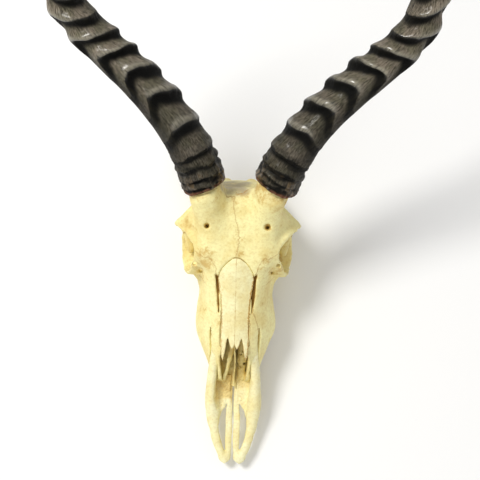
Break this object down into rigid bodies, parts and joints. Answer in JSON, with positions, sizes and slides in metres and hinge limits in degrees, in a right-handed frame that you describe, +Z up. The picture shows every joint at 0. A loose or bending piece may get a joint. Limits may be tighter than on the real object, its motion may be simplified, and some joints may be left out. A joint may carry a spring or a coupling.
{
  "type": "antelope skull",
  "caption": "Antelope skull without lower jaw, with long ringed lyre-shaped horns, open eye sockets and nose, standing on its cheek teeth.",
  "frame": {"origin": "on the surface that the skull stands on, under the middle of its bounding box", "axes": "-Y is where the nose points, +Z is up, +X is the animal's own left side"},
  "size_m": [0.3082, 0.3895, 0.4872],
  "materials": {
    "skull_bone": "dry, cleaned bone, ivory with ochre stains, matte",
    "nasal_bone": "dry, cleaned bone, slightly paler, matte",
    "jaw_bone": "dry, cleaned bone, slightly paler, matte",
    "horn": "dark brown-black horn, fine fibres along it, worn glossy on the ridges",
    "tooth_enamel": "off-white enamel with brown stain in the grooves"
  },
  "bodies": {
    "root": {"skull": "skull_bone", "left_horn_sheath": "horn", "left_nasal_bone": "nasal_bone", "left_premaxilla": "jaw_bone", "right_horn_sheath": "horn", "right_nasal_bone": "nasal_bone", "right_premaxilla": "jaw_bone", "left_premolar_2": "tooth_enamel", "left_premolar_3": "tooth_enamel", "left_premolar_4": "tooth_enamel", "left_molar_1": "tooth_enamel", "left_molar_2": "tooth_enamel", "left_molar_3": "tooth_enamel", "right_premolar_2": "tooth_enamel", "right_premolar_3": "tooth_enamel", "right_premolar_4": "tooth_enamel", "right_molar_1": "tooth_enamel", "right_molar_2": "tooth_enamel", "right_molar_3": "tooth_enamel"}
  },
  "joints": []
}
